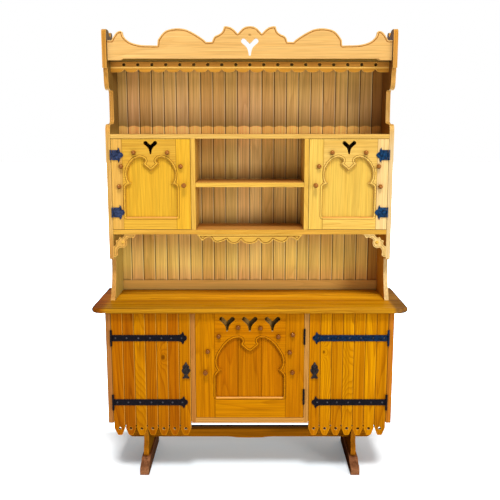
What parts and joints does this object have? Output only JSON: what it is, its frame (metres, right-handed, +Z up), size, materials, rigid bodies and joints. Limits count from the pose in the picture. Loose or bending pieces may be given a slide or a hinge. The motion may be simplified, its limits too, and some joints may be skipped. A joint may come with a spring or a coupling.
{
  "type": "kitchen dresser",
  "caption": "Pine dresser on trestle feet: plank and pegged panel doors with cusped cut-outs and iron strap hinges below, open niche, small cupboards, plate shelf and scrolled crest above.",
  "frame": {"origin": "on the floor below the middle of the worktop: X and Y are the middle of the whole piece, Z is the underside of the feet", "axes": "+Z up, the front with the doors faces -Y, +X to the viewer's right"},
  "size_m": [1.424, 0.436, 2.039],
  "materials": {
    "trestle_wood": "dark brown stained pine, satin varnish",
    "base_wood": "tan stained pine, satin varnish",
    "worktop_wood": "glued amber pine boards, satin varnish",
    "hutch_wood": "golden pine, satin varnish",
    "crest_wood": "pale golden pine, satin varnish",
    "back_wood": "olive brown matchboard pine, satin varnish",
    "upper_door_wood": "yellow golden pine, satin varnish",
    "lower_door_wood": "amber pine, satin varnish",
    "black_iron": "blue-black wrought iron, hammered, semi-matt"
  },
  "bodies": {
    "carcass": {"foot_left": "trestle_wood", "foot_right": "trestle_wood", "post_left": "trestle_wood", "post_right": "trestle_wood", "stretcher": "trestle_wood", "base_bottom": "base_wood", "base_partition_left": "base_wood", "base_partition_right": "base_wood", "base_shelf": "base_wood", "base_side_left": "base_wood", "base_side_right": "base_wood", "base_back": "base_wood", "worktop": "worktop_wood", "hutch_side_left": "hutch_wood", "hutch_side_right": "hutch_wood", "plate_shelf": "hutch_wood", "cupboard_floor": "hutch_wood", "niche_shelf": "hutch_wood", "hutch_partition_left": "hutch_wood", "hutch_partition_right": "hutch_wood", "apron": "hutch_wood", "corner_bracket_left": "hutch_wood", "corner_bracket_right": "hutch_wood", "valance": "hutch_wood", "crest_board": "crest_wood", "hutch_back": "back_wood", "hutch_roof": "back_wood", "upper_door_left_hinge_upper_leaf": "black_iron", "lower_door_left_hinge_upper_leaf": "black_iron", "upper_door_left_hinge_lower_leaf": "black_iron", "lower_door_left_hinge_lower_leaf": "black_iron", "upper_door_right_hinge_upper_leaf": "black_iron", "lower_door_right_hinge_upper_leaf": "black_iron", "upper_door_right_hinge_lower_leaf": "black_iron", "lower_door_right_hinge_lower_leaf": "black_iron", "middle_door_hinge_upper_leaf": "black_iron", "middle_door_hinge_lower_leaf": "black_iron"},
    "upper_door_left": {"upper_door_left_frame": "upper_door_wood", "upper_door_left_panel": "upper_door_wood", "upper_door_left_hinge_upper": "black_iron", "upper_door_left_hinge_lower": "black_iron"},
    "upper_door_right": {"upper_door_right_frame": "upper_door_wood", "upper_door_right_panel": "upper_door_wood", "upper_door_right_hinge_upper": "black_iron", "upper_door_right_hinge_lower": "black_iron"},
    "middle_door": {"middle_door_frame": "lower_door_wood", "middle_door_panel": "lower_door_wood", "middle_door_hinge_upper": "black_iron", "middle_door_hinge_lower": "black_iron"},
    "lower_door_left": {"lower_door_left": "lower_door_wood", "lower_door_left_hinge_upper": "black_iron", "lower_door_left_hinge_lower": "black_iron", "lower_door_left_pull_plate": "black_iron"},
    "lower_door_right": {"lower_door_right": "lower_door_wood", "lower_door_right_hinge_upper": "black_iron", "lower_door_right_hinge_lower": "black_iron", "lower_door_right_pull_plate": "black_iron"},
    "pull_left": {"lower_door_left_pull_drop": "black_iron"},
    "pull_right": {"lower_door_right_pull_drop": "black_iron"}
  },
  "joints": [
    {"name": "upper_door_left_swing", "type": "hinge", "parent": "carcass", "child": "upper_door_left", "pos_m": [-0.627, -0.059, 1.3465], "axis": [0, 0, 1], "range_deg": [-100, 0]},
    {"name": "upper_door_right_swing", "type": "hinge", "parent": "carcass", "child": "upper_door_right", "pos_m": [0.627, -0.059, 1.3465], "axis": [0, 0, 1], "range_deg": [0, 100]},
    {"name": "middle_door_swing", "type": "hinge", "parent": "carcass", "child": "middle_door", "pos_m": [0.2465, -0.195, 0.535], "axis": [0, 0, 1], "range_deg": [0, 100]},
    {"name": "lower_door_left_swing", "type": "hinge", "parent": "carcass", "child": "lower_door_left", "pos_m": [-0.6255, -0.1955, 0.5135], "axis": [0, 0, 1], "range_deg": [-100, 0]},
    {"name": "lower_door_right_swing", "type": "hinge", "parent": "carcass", "child": "lower_door_right", "pos_m": [0.6255, -0.1955, 0.5135], "axis": [0, 0, 1], "range_deg": [0, 100]},
    {"name": "pull_left_lift", "type": "hinge", "parent": "lower_door_left", "child": "pull_left", "pos_m": [-0.29, -0.1962, 0.5365], "axis": [-1, 0, 0], "range_deg": [0, 60]},
    {"name": "pull_right_lift", "type": "hinge", "parent": "lower_door_right", "child": "pull_right", "pos_m": [0.2945, -0.1962, 0.5365], "axis": [-1, 0, 0], "range_deg": [0, 60]}
  ]
}
